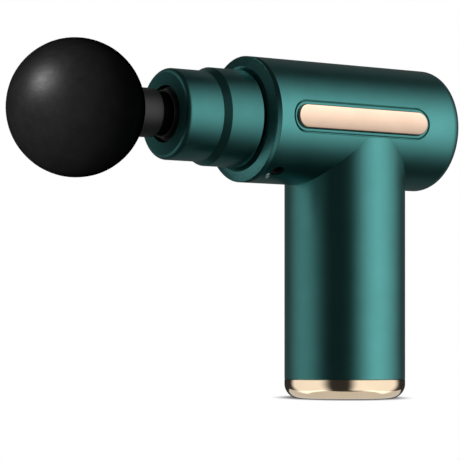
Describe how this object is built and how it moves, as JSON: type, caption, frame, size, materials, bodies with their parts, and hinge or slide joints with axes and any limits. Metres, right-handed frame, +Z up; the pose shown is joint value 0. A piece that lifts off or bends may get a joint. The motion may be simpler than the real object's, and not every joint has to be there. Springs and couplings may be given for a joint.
{
  "type": "massage gun",
  "caption": "Small T-shaped handheld percussion massager with a round barrel, a cylindrical battery handle, a stepped nose and a push-in foam ball head.",
  "frame": {"origin": "centre of the base's flat bottom, on the handle's axis", "axes": "+Z up along the handle, -X along the barrel towards the ball head, -Y towards the side with the charging socket"},
  "size_m": [0.1801, 0.0484, 0.1264],
  "materials": {
    "teal_metal": "satin metallic teal, anodised",
    "trim_gap": "satin teal, slightly darker",
    "rose_gold": "satin champagne rose gold, anodised",
    "foam": "black closed-cell foam with a smooth skin",
    "head_plastic": "dark grey moulded plastic",
    "black_plastic": "black moulded plastic",
    "black_rubber": "black rubber",
    "bearing_plastic": "natural slippery plastic",
    "steel": "turned steel",
    "cast_alloy": "machined alloy",
    "laminated_steel": "dark laminated steel",
    "copper": "enamelled copper wire",
    "cell_wrap": "blue heat-shrink wrap over a metal can",
    "circuit_board": "green solder mask",
    "lead_wire": "insulated wire",
    "clear_light": "frosted clear plastic"
  },
  "bodies": {
    "housing": {"housing": "teal_metal", "front_ring": "teal_metal", "nose_collar": "teal_metal", "nose_cap": "teal_metal", "nose_tube": "black_plastic", "guide_bush": "bearing_plastic", "wiper_seal": "black_rubber", "nose_screws": "steel", "left_trim": "rose_gold", "right_trim": "rose_gold", "left_trim_frame": "trim_gap", "right_trim_frame": "trim_gap", "base_cap": "rose_gold", "base_screws": "steel", "lower_cell_holder": "black_plastic", "upper_cell_holder": "black_plastic", "battery_cells": "cell_wrap", "cell_tabs": "steel", "battery_board": "circuit_board", "battery_leads": "lead_wire", "motor_bracket": "cast_alloy", "bracket_screws": "steel", "stator_core": "laminated_steel", "stator_windings": "copper", "motor_bearings": "steel", "motor_leads": "lead_wire", "main_board": "circuit_board", "board_carrier": "black_plastic", "board_screws": "steel", "tact_switch": "black_plastic", "level_lights": "clear_light", "charge_jack": "black_plastic", "jack_leads": "lead_wire", "charge_light": "clear_light"},
    "rotor": {"rotor_bell": "steel", "rotor_magnets": "laminated_steel", "motor_shaft": "steel", "crank_wheel": "steel", "grub_screw": "steel", "crank_pin": "steel", "pin_clip": "steel"},
    "rod": {"connecting_rod": "cast_alloy", "big_end_bearing": "steel"},
    "plunger": {"plunger": "cast_alloy", "wrist_pin": "steel"},
    "head": {"head_ball": "foam", "head_core": "head_plastic", "stem_o_ring": "black_rubber"},
    "button": {"power_button": "head_plastic"}
  },
  "joints": [
    {"name": "crank_turn", "type": "hinge", "parent": "housing", "child": "rotor", "pos_m": [0, 0, 0.1022], "axis": [0, 0, 1], "range_deg": [-90, 90]},
    {"name": "rod_swing", "type": "hinge", "parent": "rotor", "child": "rod", "pos_m": [0, -0.0035, 0.1022], "axis": [0, 0, 1], "range_deg": [-90.5, 90.5]},
    {"name": "plunger_slide", "type": "slide", "parent": "housing", "child": "plunger", "axis": [-1, 0, 0], "range_m": [-0.0035, 0.0035]},
    {"name": "head_pull", "type": "slide", "parent": "plunger", "child": "head", "axis": [-1, 0, 0], "range_m": [0, 0.025]},
    {"name": "button_press", "type": "slide", "parent": "housing", "child": "button", "axis": [-1, 0, 0], "range_m": [0, 0.0006], "stiffness_N_per_m": 800, "springref_m": -0.0005}
  ],
  "couplings": [
    {"joint": "rod_swing", "follows": "crank_turn", "ratio": -1},
    {"joint": "plunger_slide", "follows": "crank_turn", "m_per_rad": -0.002225}
  ]
}
